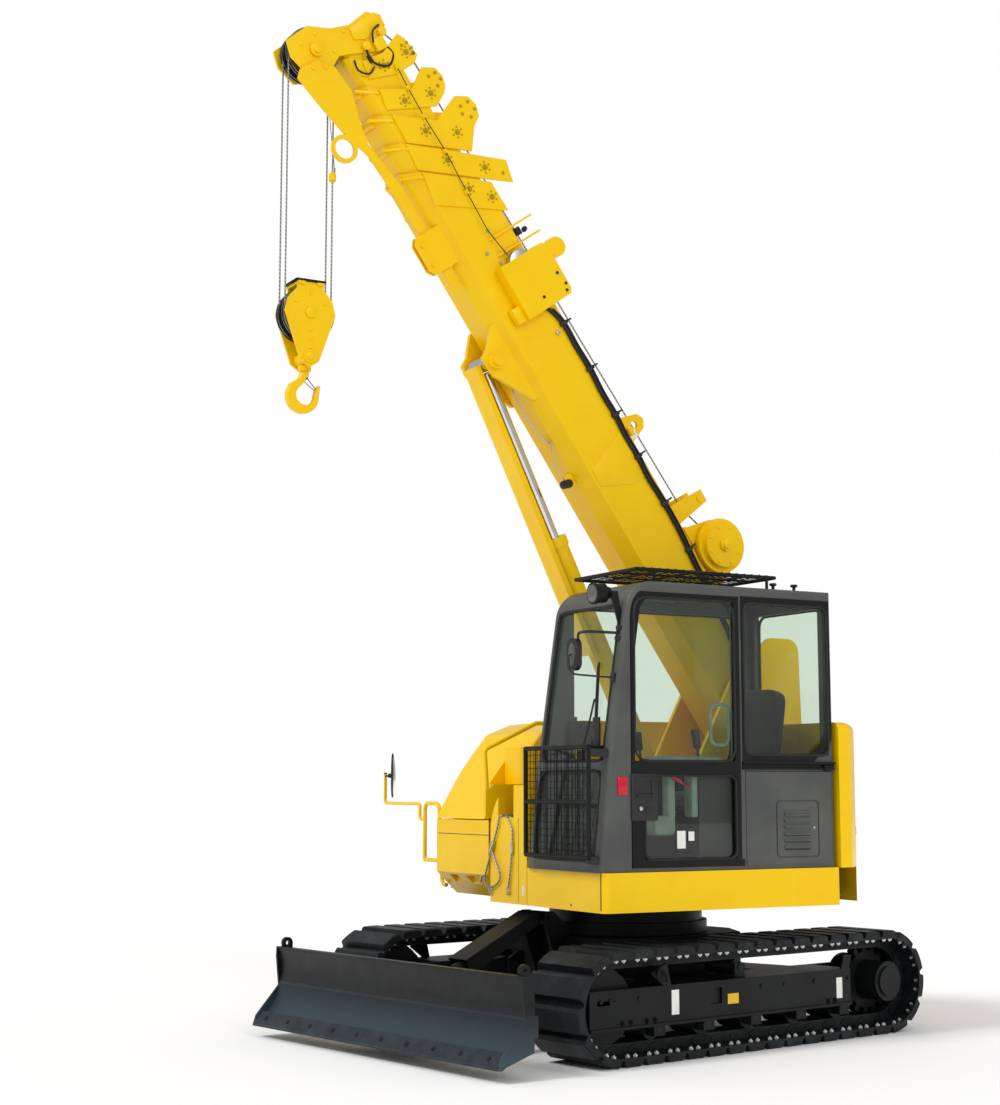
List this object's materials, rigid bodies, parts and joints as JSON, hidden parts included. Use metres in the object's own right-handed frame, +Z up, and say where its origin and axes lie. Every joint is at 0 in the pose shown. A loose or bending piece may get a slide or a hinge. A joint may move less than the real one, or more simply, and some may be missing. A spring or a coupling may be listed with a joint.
{
  "type": "telescopic crawler crane",
  "caption": "Compact crawler crane with a slewing cab and deck, nested telescopic boom with luffing cylinder, winch and hook block, and a dozer blade ahead of its tracks",
  "frame": {"origin": "on the ground under the slew axis, midway between the tracks", "axes": "+Z up, -Y towards the blade, +X to the machine's left; the upper works stand slewed 10 degrees clockwise seen from above"},
  "size_m": [3.1633, 3.781, 6.0904],
  "materials": {
    "body_yellow": "gloss yellow paint",
    "black_paint": "satin black paint",
    "grey_paint": "satin dark grey paint",
    "track_steel": "worn black paint on steel shoes",
    "bare_steel": "machined and oiled",
    "chromed_rod": "hard chromed",
    "window_glass": "clear, slightly green",
    "seat_cloth": "woven dark cloth",
    "cab_plastic": "moulded, matt",
    "engine_iron": "as cast",
    "rope_steel": "greased wire"
  },
  "bodies": {
    "undercarriage": {"track_left": "track_steel", "track_right": "track_steel", "side_frame_left": "black_paint", "side_frame_right": "black_paint", "idlers": "black_paint", "sprockets": "black_paint", "rollers": "track_steel", "carbody": "black_paint", "slew_ring": "bare_steel"},
    "blade": {"blade": "black_paint", "blade_arms": "black_paint"},
    "lift_barrel": {"lift_barrel": "black_paint", "lift_cover": "black_paint"},
    "lift_rod": {"lift_rod": "chromed_rod"},
    "upper": {"deck": "black_paint", "skirt": "body_yellow", "cab_frame": "grey_paint", "cab_door": "grey_paint", "cab_rear_panel": "grey_paint", "cab_glass": "window_glass", "windscreen": "window_glass", "seat": "seat_cloth", "consoles": "cab_plastic", "front_guard": "black_paint", "roof_guard": "black_paint", "tank_cover": "body_yellow", "front_box": "body_yellow", "counterweight": "body_yellow", "engine_hood": "body_yellow", "engine": "engine_iron", "boom_bracket": "body_yellow", "arch_plate": "body_yellow", "handrail": "body_yellow", "mirror_post": "body_yellow", "mirror_right": "cab_plastic", "mirror_left": "cab_plastic", "work_lamp": "black_paint"},
    "boom": {"boom_base": "body_yellow", "winch_frame": "body_yellow", "cover_box": "body_yellow"},
    "winch_drum": {"winch_drum": "bare_steel"},
    "section_2": {"boom_section_2": "body_yellow"},
    "section_3": {"boom_section_3": "body_yellow"},
    "section_4": {"boom_section_4": "body_yellow"},
    "section_5": {"boom_section_5": "body_yellow"},
    "tip": {"boom_section_6": "body_yellow", "boom_head": "body_yellow", "strip": "body_yellow"},
    "head_sheaves": {"head_sheaves": "bare_steel"},
    "hoist_line": {"hoist_ropes": "rope_steel"},
    "hook_block": {"hook_block": "body_yellow"},
    "block_sheaves": {"block_sheaves": "bare_steel"},
    "hook": {"hook": "body_yellow"},
    "luff_rod": {"luff_rod": "chromed_rod", "luff_guard": "body_yellow"},
    "luff_barrel": {"luff_barrel": "body_yellow"}
  },
  "joints": [
    {"name": "slew", "type": "hinge", "parent": "undercarriage", "child": "upper", "pos_m": [0, 0, 0], "axis": [0, 0, 1], "continuous": true},
    {"name": "blade_lift", "type": "hinge", "parent": "undercarriage", "child": "blade", "pos_m": [0, -0.66, 0.4], "axis": [-1, 0, 0], "range_deg": [-12, 17]},
    {"name": "blade_cylinder", "type": "hinge", "parent": "undercarriage", "child": "lift_barrel", "pos_m": [0, -0.715, 0.705], "axis": [-1, 0, 0], "range_deg": [-11.5, 16.2]},
    {"name": "blade_rod", "type": "slide", "parent": "lift_barrel", "child": "lift_rod", "axis": [0, -0.9059, -0.4234], "range_m": [-0.09, 0.065]},
    {"name": "boom_luff", "type": "hinge", "parent": "upper", "child": "boom", "pos_m": [0.14239, 0.80754, 2.06], "axis": [-0.9848, 0.1736, 0], "range_deg": [-55, 25]},
    {"name": "winch_spin", "type": "hinge", "parent": "boom", "child": "winch_drum", "pos_m": [0.10614, 0.60193, 3.00151], "axis": [-0.9848, 0.1736, 0], "continuous": true},
    {"name": "tele_2", "type": "slide", "parent": "boom", "child": "section_2", "axis": [-0.0996, -0.5649, 0.8192], "range_m": [0, 2.4]},
    {"name": "tele_3", "type": "slide", "parent": "section_2", "child": "section_3", "axis": [-0.0996, -0.5649, 0.8192], "range_m": [0, 2.4]},
    {"name": "tele_4", "type": "slide", "parent": "section_3", "child": "section_4", "axis": [-0.0996, -0.5649, 0.8192], "range_m": [0, 2.4]},
    {"name": "tele_5", "type": "slide", "parent": "section_4", "child": "section_5", "axis": [-0.0996, -0.5649, 0.8192], "range_m": [0, 2.4]},
    {"name": "tele_6", "type": "slide", "parent": "section_5", "child": "tip", "axis": [-0.0996, -0.5649, 0.8192], "range_m": [0, 2.4]},
    {"name": "head_sheaves_spin", "type": "hinge", "parent": "tip", "child": "head_sheaves", "pos_m": [-0.38033, -2.15694, 5.7802], "axis": [-0.9848, 0.1736, 0], "continuous": true},
    {"name": "line_swing", "type": "hinge", "parent": "tip", "child": "hoist_line", "pos_m": [-0.38033, -2.15694, 5.7802], "axis": [-0.9848, 0.1736, 0], "range_deg": [-25, 55]},
    {"name": "hoist", "type": "slide", "parent": "hoist_line", "child": "hook_block", "axis": [0, 0, -1], "range_m": [-0.45, 3.2], "deforming": ["hoist_ropes"]},
    {"name": "block_sheaves_spin", "type": "hinge", "parent": "hook_block", "child": "block_sheaves", "pos_m": [-0.38033, -2.15694, 4.2002], "axis": [-0.9848, 0.1736, 0], "continuous": true},
    {"name": "hook_swivel", "type": "hinge", "parent": "hook_block", "child": "hook", "pos_m": [-0.38033, -2.15694, 3.7252], "axis": [0, 0, 1], "continuous": true},
    {"name": "luff_pin", "type": "hinge", "parent": "boom", "child": "luff_rod", "pos_m": [-0.17448, -0.98952, 4.03319], "axis": [-0.9848, 0.1736, 0], "range_deg": [-2.4, 5.1]},
    {"name": "luff_extend", "type": "slide", "parent": "luff_rod", "child": "luff_barrel", "axis": [0.0753, 0.4269, -0.9012], "range_m": [-0.82, 0.38]}
  ],
  "couplings": [
    {"joint": "blade_cylinder", "follows": "blade_lift", "ratio": 0.935},
    {"joint": "blade_rod", "follows": "blade_lift", "m_per_rad": -0.296},
    {"joint": "tele_3", "follows": "tele_2", "ratio": 1},
    {"joint": "tele_4", "follows": "tele_2", "ratio": 1},
    {"joint": "tele_5", "follows": "tele_2", "ratio": 1},
    {"joint": "tele_6", "follows": "tele_2", "ratio": 1},
    {"joint": "line_swing", "follows": "boom_luff", "ratio": -1},
    {"joint": "luff_pin", "follows": "boom_luff", "ratio": -0.09},
    {"joint": "luff_extend", "follows": "boom_luff", "m_per_rad": 0.84}
  ]
}
